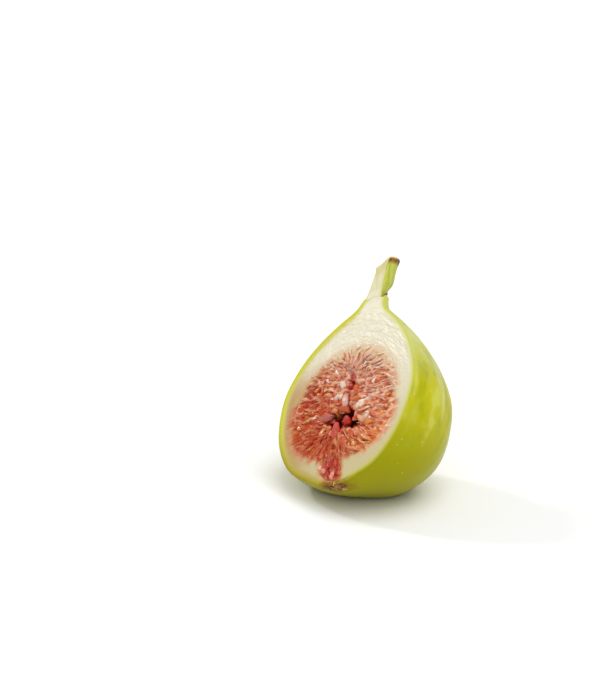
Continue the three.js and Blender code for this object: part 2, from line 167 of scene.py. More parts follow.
def xyz(x, y, z):
    start = next(part for part in (x, y, z) if isinstance(part, Wire))
    return start.node("ShaderNodeCombineXYZ", None, {0: x, 1: y, 2: z})


def noise(place, scale, detail=2.0, rough=0.5):
    """Cloudy noise from 0 to 1, with a scale in waves per unit of place."""
    return place.node("ShaderNodeTexNoise", None,
                      {"Vector": place, "Scale": scale, "Detail": detail, "Roughness": rough})


def marked(shape, name, value, domain="POINT"):
    """Stores a value on a shape, for its material to read."""
    settings = {"data_type": "FLOAT_VECTOR" if value.is_vector() else "FLOAT", "domain": domain}
    sockets = {0: shape, "Name": name, "Value": value}
    return shape.node("GeometryNodeStoreNamedAttribute", settings, sockets)


def moved(shape, place):
    return shape.node("GeometryNodeSetPosition", None, {0: shape, "Position": place})


def line_mesh(name, points):
    """Points joined by edges: what Geometry Nodes take a curve from."""
    mesh = bpy.data.meshes.new(name)
    mesh.from_pydata(points, [(i, i + 1) for i in range(len(points) - 1)], [])
    return mesh


def grow(name, base, sizes, build, material):
    """A plain mesh object that Geometry Nodes grow from a base mesh in the fruit's frame. build
    writes the tree from the wires of the base and of the named sizes."""
    tree = bpy.data.node_groups.new(name, "GeometryNodeTree")
    tree.interface.new_socket("Grown", in_out="OUTPUT", socket_type="NodeSocketGeometry")
    tree.interface.new_socket("Base", in_out="INPUT", socket_type="NodeSocketGeometry")
    keys = {}
    for label, value in sizes.items():
        kind = "NodeSocketInt" if isinstance(value, int) else "NodeSocketFloat"
        keys[label] = tree.interface.new_socket(label, in_out="INPUT", socket_type=kind).identifier
    start = Wire(tree).node("NodeGroupInput")
    shape = build(start, {label: start.output(label) for label in sizes})
    shape = shape.node("GeometryNodeSetShadeSmooth", None, {0: shape})
    shape = shape.node("GeometryNodeRealizeInstances", None, {0: shape})
    shape = shape.node("GeometryNodeSetMaterial", None, {0: shape, "Material": material})
    shape.node("NodeGroupOutput", None, {"Grown": shape})
    piece = bpy.data.objects.new(name, base)
    bpy.context.scene.collection.objects.link(piece)
    grower = piece.modifiers.new("Grow", "NODES")
    grower.node_group = tree
    for label, value in sizes.items():
        grower[keys[label]] = value
    depsgraph = bpy.context.evaluated_depsgraph_get()
    grown = piece.evaluated_get(depsgraph)
    mesh = bpy.data.meshes.new_from_object(grown, preserve_all_data_layers=True, depsgraph=depsgraph)
    piece.modifiers.clear()
    mesh.name = name
    mesh.transform(STAND)
    piece.data = mesh
    return piece


def sheet(start, columns, rows, side=1.0):
    """A flat grid, and each point's place along it and up it, measured from its middle."""
    sockets = {"Size X": side, "Size Y": side, "Vertices X": columns, "Vertices Y": rows}
    grid = start.node("GeometryNodeMeshGrid", None, sockets)
    column, row, _ = start.node("GeometryNodeInputPosition").parts()
    return grid, column, row


def wrapped(start, rows, round_back, edge_columns):
    """A grid to be wrapped into a closed shell. Its columns go round the outside, over one cut
    edge, back along the inside and over the other one. layer is 0 outside and 1 inside, and last
    is 0 up to the last row, which closes the shell, and 1 there."""
    grid, column, row = sheet(start, (round_back + edge_columns) * 2 + 1, rows)
    edge = edge_columns / round_back
    loop = (column + 0.5) * (edge * 2 + 2)
    around = loop.ramp(0, 1, "LINEAR") - loop.ramp(edge + 1, edge + 2, "LINEAR")
    layer = loop.ramp(1, edge + 1, "LINEAR") - loop.ramp(edge + 2, edge * 2 + 2, "LINEAR")
    steps = rows - 1
    step = (row + 0.5) * steps
    share = (step / (steps - 1)).math("MINIMUM", 1.0)
    last = step - steps + 1
    return grid, share, around, layer, last.math("MAXIMUM", 0.0)


def welded(shape):
    """The shape with its seams and poles closed."""
    return shape.node("GeometryNodeMergeByDistance", None, {0: shape, "Distance": WELD})


def smooth_line(line):
    curve = line.node("GeometryNodeMeshToCurve", None, {0: line})
    curve = curve.node("GeometryNodeCurveSplineType", {"spline_type": "CATMULL_ROM"}, {0: curve})
    return curve.node("GeometryNodeSetSplineResolution", None, {0: curve, "Resolution": LINE_STEPS})


def fruit_point(outline, share, around, depth):
    """A point this far below the skin. share runs from the eye to the collar, and around from the
    right-hand edge of the cut, round the back, to its left-hand edge."""
    on_line = outline.node("GeometryNodeSampleCurve", {"mode": "FACTOR"},
                           {"Curves": outline, "Factor": share}, "Position")
    radius, _, height = on_line.parts()
    outward, _, upward = on_line.output("Tangent").parts()
    level = (height / COLLAR).math("MAXIMUM", 0.0).math("MINIMUM", 1.0)
    radius = (radius - depth * upward).math("MAXIMUM", 0.0)
    off_axis = (1 - level) ** 0.5 * OFF_AXIS
    start = off_axis.math("ARCSINE")
    angle = (start * 2 + math.pi) * around - start
    rib = (around * (2 * math.pi * RIBS)).math("COSINE") * (around * math.pi).math("SINE")
    rib = rib * (level * math.pi).math("SINE") * RIB_HEIGHT * radius.math("MINIMUM", 1.0)
    wide = (radius + rib) / start.math("COSINE")
    middle = (level * 4 * (1 - level)) ** 0.6 * -BOW
    across = wide * angle.math("COSINE") + middle
    inward = wide * (angle.math("SINE") + off_axis) * DEPTH_RATIO
    ray = xyz(across, inward, height + depth * outward) - HEART
    room = HEART.dot(UP) - TABLE - depth
    kept = room / ray.dot(-UP).math("MAXIMUM", 0.001)
    return ray * kept.math("SMOOTH_MIN", 1.0, SETTLE_BLEND) + HEART


def build_peel(line, size):
    outline = smooth_line(line)
    grid, share, around, layer, last = wrapped(line, size["Rows"], size["Round"], size["Edge"])
    layer = layer + last * (0.5 - layer)
    grid = marked(grid, "skin", xyz(around, share, layer))
    return welded(moved(grid, fruit_point(outline, share, around, layer * size["Thickness"])))


def finish(name):
    """A new material, and the place on it in millimetres in the fruit's own frame."""
    material = bpy.data.materials.new(name)
    material.use_nodes = True
    material.node_tree.nodes.clear()
    spot = Wire(material.node_tree).node("ShaderNodeTexCoord", None, None, "Object")
    sockets = {0: spot, "Location": EYE_AT, "Rotation": TURN.to_euler(), "Scale": (0.001, 0.001, 0.001)}
    return material, spot.node("ShaderNodeMapping", {"vector_type": "TEXTURE"}, sockets)


def carried(place, name, output="Vector"):
    """What a piece's mesh carries for its material."""
    return place.node("ShaderNodeAttribute", {"attribute_name": name}, None, output)


def dress(colour, roughness, relief=None, specular=0.5, soft=None, coat=None):
    """Closes a material. relief is its height in millimetres. soft is the light under the
    surface: its weight, how far red, green and blue reach, and the scale of that. coat is a wet
    film's weight and roughness."""
    sockets = {"Base Color": colour, "Roughness": roughness, "Specular IOR Level": specular}
    if relief:
        height = {"Strength": 1.0, "Distance": 0.001, "Height": relief}
        sockets["Normal"] = relief.node("ShaderNodeBump", None, height)
    if soft:
        sockets |= zip(("Subsurface Weight", "Subsurface Radius", "Subsurface Scale"), soft)
    if coat:
        sockets |= zip(("Coat Weight", "Coat Roughness"), coat)
    shader = colour.node("ShaderNodeBsdfPrincipled", None, sockets)
    shader.node("ShaderNodeOutputMaterial", None, {"Surface": shader})


def cut_pale_at(z):
    """The colour between the peel and the flesh on the right of the cut."""
    return z.ramp(6, 40).between((196, 188, 96), (226, 222, 170))


def cut_buff_at(z):
    """The same on the left of the cut, where it is browner."""
    return z.ramp(4, 24).between((178, 160, 62), (206, 200, 76))


skin, place = finish("fig_skin")
x, y, z = place.parts()
around, share, layer = carried(place, "skin").parts()
# Darker olive towards the bottom and paler up to the neck: partly the skin's own tone, partly painted
# shade low down and painted light towards the neck.
olive = z.ramp(2, 30).between((150, 146, 0), (190, 186, 26))
upper = z.ramp(30, 56).between(olive, (198, 202, 92))
mottle = noise(xyz(x, y, z * 0.6), 0.17, 2.5, 0.55)
patched = (mottle.ramp(0.5, 0.66) * z.ramp(4, 16) * 0.65).between(upper, (156, 160, 8))
patched = (mottle.ramp(0.48, 0.34) * z.ramp(8, 22) * 0.6).between(patched, (206, 206, 96))
lengthwise = xyz(around * 16, share * 2.6, layer)
streaks = noise(lengthwise, 1.0, 2.5, 0.5).ramp(0.5, 0.74) * z.ramp(8, 26)
streaked = (streaks * 0.6).between(patched, (214, 214, 138))
# Pale patches on the upper right of the skin: partly the skin's own waxy bloom, partly a painted sheen
# where the light falls.
bloom_and_sheen = (noise(place, 0.2, 2.0) * z.ramp(18, 46) * x.ramp(-6, 18)).ramp(0.12, 0.6)
bloomed_and_sheened = (bloom_and_sheen * 0.5).between(streaked, (214, 218, 166))
pores = place.node("ShaderNodeTexVoronoi", None, {"Vector": place, "Scale": 0.42})
dots = pores.ramp(0.13, 0.06) * pores.output("Color").parts()[0].ramp(0.35, 0.5)
dotted = (dots * 0.5).between(bloomed_and_sheened, (222, 220, 140))
eye_tint = (place.length() + noise(place, 0.5, 3.0) * 5 - x.ramp(0, 8) * 2).ramp(9.5, 4.5)
rim = layer.ramp(0.02, 0.06) * z.ramp(60, 57)
leftward = x.ramp(4, -8)
left_green = z.ramp(4, 24).between((150, 134, 20), (190, 192, 26))
right_green = z.ramp(2, 30).between((160, 156, 22), (196, 198, 70))
cut_green = leftward.between(right_green, left_green)
cut_inner = leftward.between(cut_pale_at(z), cut_buff_at(z))
rim_colour = layer.ramp(0.0, 1.0).between(cut_green, cut_inner)
rimmed = rim.between(dotted, rim_colour)
tinted = (eye_tint * 0.8).between(rimmed, (130, 82, 16))
relief = noise(place, 2.2, 3.0, 0.6) * 0.03 + noise(lengthwise, 2.0, 2.0) * 0.08 + dots * 0.03
dress(tinted, bloom_and_sheen * 0.16 + 0.34, relief, specular=0.08, soft=(0.1, (0.8, 1.0, 0.2), 0.002))

peel = grow("peel_skin", line_mesh("outline", [(r, 0, z) for r, z in OUTLINE]),
            {"Rows": ROWS, "Round": ROUND, "Edge": 8, "Thickness": PEEL}, build_peel, skin)
peel.data.set_sharp_from_angle(angle=SHARP)
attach(peel, "root")
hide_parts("peel")


# Flesh. The cream wall inside the peel, soft and a little wet, which runs up into the neck. The
# knife has left it flat, with fine wrinkles above the pulp. It is the room between the peel and
# the pulp's bowl, with a groove where the channel runs down to the eye.
PULP = {"x": -2.3, "z": 22.5, "half_width": 20, "rise": 20.3, "fall": 14.5, "depth": 23.5,
        "squareness": 2.25}
PULP_MIDDLE = Vector((PULP["x"], 0, PULP["z"]))
SEAM_LOW = Vector((-1.6, 0, 18))
SEAM_HIGH = Vector((-1, 0, 34))
SEAM_LENGTH = (SEAM_HIGH - SEAM_LOW).length
SEAM_WAY = (SEAM_HIGH - SEAM_LOW).normalized()
GRAIN_AT = 14
GRAIN_STRETCH = 0.36
GRAIN_SWAY = 3.2
CELL = 2.2
CELL_FINE = 1.3
FLESH_TOP = Vector((-0.9, 0, COLLAR + 0.6))
NECK = (COLLAR - 0.6, 44)
CHANNEL_MIDDLE = [(1.4, 0.3), (4.2, -1.5), (7.5, -2.2), (12, -1.6)]
CHANNEL_HALF_WIDTH = [(1.4, 2.3), (4.2, 4.3), (7.5, 3.9), (12, 2.9)]


def along_stops(value, stops):
    """A number that runs straight from stop to stop, each a place and the number there."""
    total = stops[0][1]
    for (place, low), (further, high) in zip(stops, stops[1:]):
        total = value.ramp(place, further, "LINEAR") * (high - low) + total
    return total


def pulp_reach(place):
    """How far out a place lies from the pulp's middle: 1 on the pulp's outer surface."""
    x, y, z = (place - PULP_MIDDLE).parts()
    half_height = z.math("GREATER_THAN", 0.0) * (PULP["rise"] - PULP["fall"]) + PULP["fall"]
    across = (x / PULP["half_width"]).math("ABSOLUTE") ** PULP["squareness"]
    upward = (z / half_height).math("ABSOLUTE") ** PULP["squareness"]
    return ((across + upward) ** (2 / PULP["squareness"]) + (y / PULP["depth"]) ** 2) ** 0.5


def in_channel(x, z, wider=0.0):
    """1 in the channel from the pulp to the eye, fading to 0 over its edge."""
    aside = (x - along_stops(z, CHANNEL_MIDDLE)).math("ABSOLUTE")
    return (aside - along_stops(z, CHANNEL_HALF_WIDTH)).ramp(wider + 0.2, wider - 0.9) * z.ramp(15, 12)


def swirl(place, scale, detail=1.0):
    """Cloudy noise in three directions, each from -0.5 to 0.5."""
    sockets = {"Vector": place, "Scale": scale, "Detail": detail}
    return place.node("ShaderNodeTexNoise", None, sockets, 1) - (0.5, 0.5, 0.5)


def florets_at(x, z):
    """The florets lie like cells along the grain, which runs from the outline to the seam. For a
    place: how far it is from its cell's wall and from its middle, the cell's own chance, the
    place's distance from the seam, and the strands that run along the grain."""
    here = xyz(x, 0, z)
    here = here + swirl(here, 0.17, 2.0) * GRAIN_SWAY - SEAM_LOW
    up = here.dot(SEAM_WAY)
    side = here.dot((SEAM_WAY.z, 0, -SEAM_WAY.x))
    level = up.math("MAXIMUM", 0.0).math("MINIMUM", SEAM_LENGTH)
    off = (side ** 2 + (up - level) ** 2) ** 0.5
    radius = GRAIN_AT + SEAM_LENGTH / math.pi
    turn = side.math("ABSOLUTE").math("ARCTAN2", level - up) * GRAIN_AT + level
    angle = turn / radius
    east = angle.math("SINE") * side.math("SIGN") * radius
    grain = xyz(angle.math("COSINE") * radius, east, off * GRAIN_STRETCH)
    sockets = {"Vector": grain, "Scale": 1 / CELL}
    wall = x.node("ShaderNodeTexVoronoi", {"feature": "DISTANCE_TO_EDGE"}, sockets)
    middle = x.node("ShaderNodeTexVoronoi", None, sockets)
    sockets = {"Vector": grain, "Scale": 1 / CELL_FINE}
    split = x.node("ShaderNodeTexVoronoi", {"feature": "DISTANCE_TO_EDGE"}, sockets)
    wall = wall.math("MINIMUM", split + z.ramp(34, 24) * 0.3)
    return wall, middle, middle.output("Color").parts()[0], off, noise(grain, 0.9, 2.0, 0.55)


def redness(x, z, chance):
    """1 in the red of the pulp, fading to 0 where it runs out into the flesh, cell by cell."""
    ragged = noise(xyz(x, 0, z), 0.4, 3.0) * 0.12 + chance * 0.12 - 0.2 + z.ramp(18, 42) * 0.16
    return (pulp_reach(xyz(x, 0, z)) + ragged).ramp(1.05, 0.86)


def stranded(colour, x, z, strand, off):
    """Draws the strands over a colour of the pulp: painted shade in the furrows, pale threads,
    painted glints as wet white flecks, a deeper red low down and to the left that is partly
    painted shade, and painted shade in the crevice along the seam."""
    # Deeper, darker red low down and to the left, with fewer pale threads and glints there: partly the
    # pulp's own red, partly painted shade.
    low = (x * 0.045 + z * 0.035).ramp(0.8, 0.2)
    deep_and_shaded = (low * 0.55).between(colour, (168, 46, 4))
    # The dark furrows between the strands are painted shade.
    furrow_shaded = (strand.ramp(0.5, 0.34) * 0.6).between(deep_and_shaded, (172, 30, 10))
    high = (z - x * 0.6).ramp(24, 38)
    thread = high.between((230, 158, 100), (246, 204, 172))
    threaded = (strand.ramp(0.53, 0.66) * (high * 0.2 + 0.6 - low * 0.3)).between(furrow_shaded, thread)
    # The white flecks on the strands are painted wet glints.
    painted_glints = noise(xyz(x, strand * 2, z), 0.9, 1.0).ramp(0.62, 0.7) * strand.ramp(0.45, 0.55)
    glinted = (painted_glints * (0.75 - low * 0.6)).between(threaded, (250, 236, 224))
    # The dark red along the seam is painted shade in its crevice.
    return (off.ramp(1.3, 0.3) * 0.85).between(glinted, (172, 26, 10))


def upper_right(x, z, cloud):
    """1 where the pulp is paler and its florets finer, fading to 0 below and to the left."""
    return (x * 0.03 + z * 0.045 + cloud * 0.6).ramp(1.1, 2.0)


def cream(place):
    """The flesh's colour: cream above, buff below, browner at the left and round the pulp. The
    buff below and the brown at the left are partly its own tone and partly painted shade.
    """
    x, _, z = place.parts()
    plain = z.ramp(6, 44).between((198, 184, 136), (232, 225, 200))
    # Browner at the left: painted shade, with some of the flesh's own tone.
    brown = (x + z * 0.1 + noise(place, 0.2, 2.0) * 8).ramp(-3, -16) * z.ramp(44, 28)
    browned = (brown * 0.9).between(plain, (180, 138, 78))
    fibres = noise(place, 0.5, 4.0, 0.6)
    veined = (fibres.ramp(0.45, 0.75) * z.ramp(30, 44) * 0.3).between(browned, (216, 200, 174))
    near = (pulp_reach(xyz(x, 0, z)) + fibres * 0.2).ramp(1.22, 1.02)
    return (near * 0.55).between(veined, (220, 168, 112))


def tissue(place):
    """The pulp's colour on the cut face: orange cells with pale walls and golden middles, paler to
    the upper right, and cream where it runs out into the flesh."""
    x, _, z = place.parts()
    wall, middle, chance, off, strand = florets_at(x, z)
    cloud = noise(place, 0.5, 2.0)
    outer = chance.ramp(0.1, 0.9).between((216, 96, 12), (190, 46, 10))
    outer = (noise(place, 1.1, 3.0).ramp(0.45, 0.7) * 0.5).between(outer, (224, 130, 50))
    inside = off.ramp(4, 13).between((176, 30, 16), outer)
    golden = (middle.ramp(0.4, 0.15) * chance.ramp(0.25, 0.4) * 0.85).between(inside, (226, 150, 36))
    walled = (wall.ramp(0.17, 0.03) * cloud.ramp(0.3, 0.6) * 0.85).between(golden, (220, 146, 92))
    fine = wall.ramp(0.12, 0.02).between((206, 112, 76), (236, 206, 184))
    faded = (upper_right(x, z, cloud) * 0.7).between(walled, fine)
    drawn = stranded(faded, x, z, strand, off)
    return redness(x, z, chance).between(cream(place), drawn)


def build_flesh(line, size):
    outline = smooth_line(line)
    grid, share, around, layer, last = wrapped(line, size["Rows"], size["Round"], size["Edge"])
    outer = fruit_point(outline, share, around, PEEL)
    outer = outer + (outer * -1 + FLESH_TOP) * last
    ox, oy, oz = outer.parts()
    spread = oz.ramp(*NECK, "LINEAR")
    aim = xyz((ox - FLESH_TOP.x) * spread + FLESH_TOP.x, oy * spread, oz)
    inner = (aim - PULP_MIDDLE) * (1 / pulp_reach(aim)) + PULP_MIDDLE
    wall = inner - outer
    x, y, z = (outer + wall * layer).parts()
    groove = in_channel(x, z) * layer.ramp(0.02, 0.2) * size["Groove"]
    grid = marked(grid, "from_peel", wall.length() * layer)
    return welded(moved(grid, xyz(x, y + groove * (y * -0.5).math("EXPONENT"), z)))


wall_finish, place = finish("fig_flesh")
x, _, z = place.parts()
leftward = x.ramp(4, -8)
green = (carried(place, "from_peel", "Fac") / (leftward * 1.3 + 0.9)).ramp(1.0, 0.0)
edged = green.between(tissue(place), leftward.between(cut_pale_at(z), cut_buff_at(z)))
stain = in_channel(x + noise(place, 0.6, 3.0) * 3 - 1.5, z, 1.2)
stained = (stain * 0.8).between(edged, (200, 126, 66))
near_eye = (place.length() + noise(place, 0.5, 3.0) * 3).ramp(7.0, 4.0)
browned = (near_eye * 0.8).between(stained, (168, 96, 36))
wet = z.ramp(28, 42) * z.ramp(57, 50)
away = place - PULP_MIDDLE
turn = away.parts()[2].math("ARCTAN2", away.parts()[0])
wrinkles = noise(xyz(turn * 4.5, noise(place, 0.3) * 3, away.length() * 0.7), 1.0, 2.0, 0.5)
relief = wrinkles * wet * 0.6 + noise(place, 1.1, 4.0, 0.6) * 0.12
dress(browned, noise(place, 0.7, 2.0) * 0.2 + 0.3 - wet * 0.06, relief,
      soft=(0.2, (1.0, 0.7, 0.4), 0.0008))

flesh = grow("flesh_wall", line_mesh("outline_in", [(r, 0, z) for r, z in OUTLINE]),
             {"Rows": ROWS, "Round": ROUND, "Edge": 30, "Groove": 0.9}, build_flesh, wall_finish)
flesh.data.set_sharp_from_angle(angle=SHARP)
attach(flesh, "root")
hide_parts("flesh")


# Pulp. Red, wet tissue that fills the bowl. Its ground is what shows between the florets: one
# body, dished towards the dark hollow in its middle, which drops away under the florets.
GROUND_RIM = 0.015
GROUND_SINK = 0.75
GROUND_DISH = {"depth": 0.8, "half_length": 8, "half_width": 6}
GROUND_OVERLAP = 1.004
BOWL_LOOPS = 7
PULP_SOFT = (0.35, (1.0, 0.25, 0.08), 0.0013)
HOLLOW = {"x": -1.8, "z": 19.7, "half_length": 6.8, "half_width": 4.1, "depth": 6.5, "tilt": 0.2}


def hollow_at(x, z):
    """1 in the hollow, fading to 0 over its ragged edge."""
    across, upward = x - HOLLOW["x"], z - HOLLOW["z"]
    tilt = HOLLOW["tilt"]
    length = (across * math.cos(tilt) - upward * math.sin(tilt)) / HOLLOW["half_length"]
    width = (across * math.sin(tilt) + upward * math.cos(tilt)) / HOLLOW["half_width"]
    ragged = noise(xyz(x, 0, z), 0.45, 1.0) * 0.7
    return ((length ** 2 + width ** 2) ** 0.5 + ragged).ramp(1.6, 0.75)


def pulp_ground(x, z):
    """How deep the ground lies below the cut face."""
    inward = pulp_reach(xyz(x, 0, z)).ramp(1.0, 0.86)
    length = (x - HOLLOW["x"]) / GROUND_DISH["half_length"]
    width = (z - HOLLOW["z"]) / GROUND_DISH["half_width"]
    dish = ((length ** 2 + width ** 2) * -1).math("EXPONENT") * GROUND_DISH["depth"]
    return inward * GROUND_SINK + dish + hollow_at(x, z) * HOLLOW["depth"] + GROUND_RIM


def tissue_relief(x, z):
    """How far the tissue stands out of the ground: its walls, its seeds and its lumps."""
    wall, middle, chance, off, strand = florets_at(x, z)
    crest = wall.ramp(0.2, 0.0) * 0.3 + middle.ramp(0.5, 0.1) * off.ramp(14, 7) * 0.6
    seed = middle.ramp(0.32, 0.08) * chance.ramp(0.35, 0.5) * 0.4
    lumps = noise(xyz(x, 0, z), 0.6, 4.0, 0.6) * 0.7 + strand.ramp(0.3, 0.7) * 0.6
    crevice = off.ramp(1.3, 0.2) * 1.2
    return (crest + seed + lumps - crevice) * pulp_reach(xyz(x, 0, z)).ramp(1.0, 0.9)


def build_ground(line, size):
    """A square grid drawn out to the outline, and a bowl of loops grown back from its edge."""
    grid, column, row = sheet(line, size["Columns"], size["Columns"], 2.0)
    disc = xyz(column * (1 - row ** 2 / 2) ** 0.5, 0, row * (1 - column ** 2 / 2) ** 0.5)
    disc = disc * GROUND_OVERLAP
    reach = pulp_reach(disc + PULP_MIDDLE).math("MAXIMUM", 0.0001)
    x, _, z = (disc * (disc.length() / reach) + PULP_MIDDLE).parts()
    shape = moved(grid, xyz(x, pulp_ground(x, z) - tissue_relief(x, z), z))
    for loop in range(1, BOWL_LOOPS + 1):
        before, now = (math.pi / 2 * step / BOWL_LOOPS for step in (loop - 1, loop))
        rim = line.node("GeometryNodeInputMeshEdgeNeighbors").math("LESS_THAN", 1.5)
        sockets = {0: shape, "Selection": rim, "Offset Scale": 0.0}
        shape = line.node("GeometryNodeExtrudeMesh", {"mode": "EDGES"}, sockets)
        across, _, up = line.node("GeometryNodeInputPosition").parts()
        shrink = math.cos(now) / math.cos(before) if loop < BOWL_LOOPS else 0.0
        x = (across - PULP["x"]) * shrink + PULP["x"]
        z = (up - PULP["z"]) * shrink + PULP["z"]
        spot = xyz(x, (PULP["depth"] - 1) * math.sin(now), z)
        sockets = {0: shape, "Selection": shape.output("Top"), "Position": spot}
        shape = line.node("GeometryNodeSetPosition", None, sockets)
    return welded(shape)


ground_finish, place = finish("fig_pulp_ground")
_, y, _ = place.parts()
# Redder a little below the cut face and near black deeper down: painted shade in the dish and the
# hollow.
reddened = (y.ramp(0.5, 1.5) * 0.5).between(tissue(place), (168, 28, 10))
depth_shaded = y.ramp(1.3, 3.4).between(reddened, (92, 12, 8))
wet = noise(place, 0.8, 3.0, 0.6)
dress(depth_shaded, wet * 0.2 + 0.18, noise(place, 1.8, 3.0) * 0.35, specular=0.25, soft=PULP_SOFT)

ground = grow("pulp_ground", line_mesh("pulp_middle", [(0, 0, 0), (1, 0, 0)]), {"Columns": 280},
              build_ground, ground_finish)
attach(ground, "root")
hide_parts("pulp")


# Florets. Several hundred drops of wet tissue, each a one-seeded fruit, that stand on the ground
# and point to the hollow. They follow rings between the pulp's outline and its seam. The outer
# ones are cut, so that their orange inside shows in a pale wall; the inner ones are whole lobes.
RING_POINTS = 90
DEEPEST = 4.5
BEND_WAVES = 0.32
OUTER = {"Pitch": 3.4, "Length": 4.8, "Width": 0.75, "Rise": 0.45, "Lift": 0.1, "Stray": 0.7,
         "Swirl": 2.4, "Seed": 11}
INNER = {"Pitch": 2.2, "Length": 3.2, "Width": 0.85, "Rise": 0.7, "Lift": 0.1, "Stray": 0.8,
         "Swirl": 2.0, "Seed": 41}


def outline_and_seam(angle):
    """The outline's point in a direction from the pulp's middle, and the seam's that it faces."""
    cosine, sine = math.cos(angle), math.sin(angle)
    squareness = PULP["squareness"]
    half_height = PULP["rise"] if sine > 0 else PULP["fall"]
    edge = (abs(cosine / PULP["half_width"]) ** squareness
            + abs(sine / half_height) ** squareness) ** (-1 / squareness)
    outer = PULP_MIDDLE + Vector((edge * cosine, 0, edge * sine))
    share = min(max((outer.z - SEAM_LOW.z) / (SEAM_HIGH.z - SEAM_LOW.z), 0), 1)
    return outer, SEAM_LOW.lerp(SEAM_HIGH, share)


def floret_rings(name, shares):
    """Closed lines round the seam, each point of which carries the direction to the seam."""
    points, edges, aims = [], [], []
    for share in shares:
        first = len(points)
        for step in range(RING_POINTS):
            outer, inner = outline_and_seam(2 * math.pi * step / RING_POINTS)
            points.append(inner.lerp(outer, share))
            aims.extend((inner - outer).normalized())
            edges.append((first + step, first + (step + 1) % RING_POINTS))
    mesh = bpy.data.meshes.new(name)
    mesh.from_pydata(points, edges, [])
    mesh.attributes.new("aim", "FLOAT_VECTOR", "POINT").data.foreach_set("vector", aims)
    return mesh


def varied(start, low, high, seed):
    """A number between low and high for each point or instance."""
    return start.node("FunctionNodeRandomValue", None, {2: low, 3: high, "Seed": seed}, 1)


def read(start, name, kind="FLOAT_VECTOR"):
    """An attribute that a shape's points carry."""
    return start.node("GeometryNodeInputNamedAttribute", {"data_type": kind}, {"Name": name})


def aligned(along, facing):
    """A turn that lays Z along one direction, and points X as far as it can at another."""
    turn = along.node("FunctionNodeAlignRotationToVector", {"axis": "Z"}, {"Vector": along})
    return turn.node("FunctionNodeAlignRotationToVector", {"axis": "X", "pivot_axis": "Z"},
                     {"Rotation": turn, "Vector": facing})


def drop(start, sides, rings, blunt):
    """A drop of unit size along Z, its root at 0 and its tip at 1, widest at blunt. It carries
    where each point lies: out of the cut, across and along."""
    sockets = {"Segments": sides, "Rings": rings, "Radius": 1.0}
    ball = start.node("GeometryNodeMeshUVSphere", None, sockets)
    out, across, up = start.node("GeometryNodeInputPosition").parts()
    along = ((up + 1) / 2) ** (math.log(blunt) / math.log(0.5))
    spot = xyz(out, across, along)
    return moved(marked(ball, "spot", spot), spot)


def build_florets(rings, size, shape):
    """Stands a shape on points along the rings, turned to the seam and to the outside."""
    lines = rings.node("GeometryNodeMeshToCurve", None, {0: rings})
    sockets = {0: lines, "Length": size["Pitch"]}
    spaced = lines.node("GeometryNodeResampleCurve", {"mode": "LENGTH"}, sockets)
    points = spaced.node("GeometryNodeCurveToPoints", {"mode": "EVALUATED"}, {0: spaced})
    seed = size["Seed"]
    stray = size["Stray"]
    aim = read(rings, "aim")
    aside = aim.vector("CROSS_PRODUCT", (0, 1, 0))
    here = rings.node("GeometryNodeInputPosition")
    here = here + aim * (varied(rings, -1.3, 1.3, seed) * stray)
    here = here + aside * (varied(rings, -0.6, 0.6, seed + 1) * stray)
    x, _, z = here.parts()
    depth = pulp_ground(x, z).math("MINIMUM", DEEPEST) - size["Lift"]
    points = moved(points, xyz(x, depth + varied(rings, -0.25, 0.25, seed + 2), z))
    lean = aside * varied(rings, -0.3, 0.3, seed + 3)
    lean = lean + xyz(0, varied(rings, -0.3, 0.05, seed + 4), 0)
    width = size["Width"] * varied(rings, 0.7, 1.3, seed + 5)
    length = size["Length"] * varied(rings, 0.75, 1.25, seed + 6)
    rise = size["Rise"] * varied(rings, 0.8, 1.2, seed + 8)
    sockets = {0: points, "Instance": shape, "Rotation": aligned(aim + lean, (0, -1, 0)),
               "Scale": xyz(rise, width, length)}
    placed = points.node("GeometryNodeInstanceOnPoints", None, sockets)
    placed = marked(placed, "tone", varied(rings, 0.0, 1.0, seed + 7), "INSTANCE")
    made = placed.node("GeometryNodeRealizeInstances", None, {0: placed})
    spot = made.node("GeometryNodeInputPosition")
    bend = swirl(spot, BEND_WAVES).vector("MULTIPLY", (1, 0.3, 1))
    return moved(made, spot + bend * size["Swirl"])


def strewn(name, shares, sizes, form, material):
    """A piece of drops on rings at these shares of the way from the seam to the outline."""
    return grow(name, floret_rings(name + "_rings", shares), sizes,
                lambda rings, size: build_florets(rings, size, drop(rings, *form)), material)


def by_region(colour, place, pale):
    """The pulp is paler to the upper right, and it runs out into the flesh at its edge."""
    x, _, z = place.parts()
    cloud = noise(place, 0.5, 2.0)
    paled = (upper_right(x, z, cloud) * 0.8).between(colour, pale)
    _, _, _, off, strand = florets_at(x, z)
    drawn = stranded(paled, x, z, strand, off)
    return redness(x, z, cloud).between(cream(place), drawn)


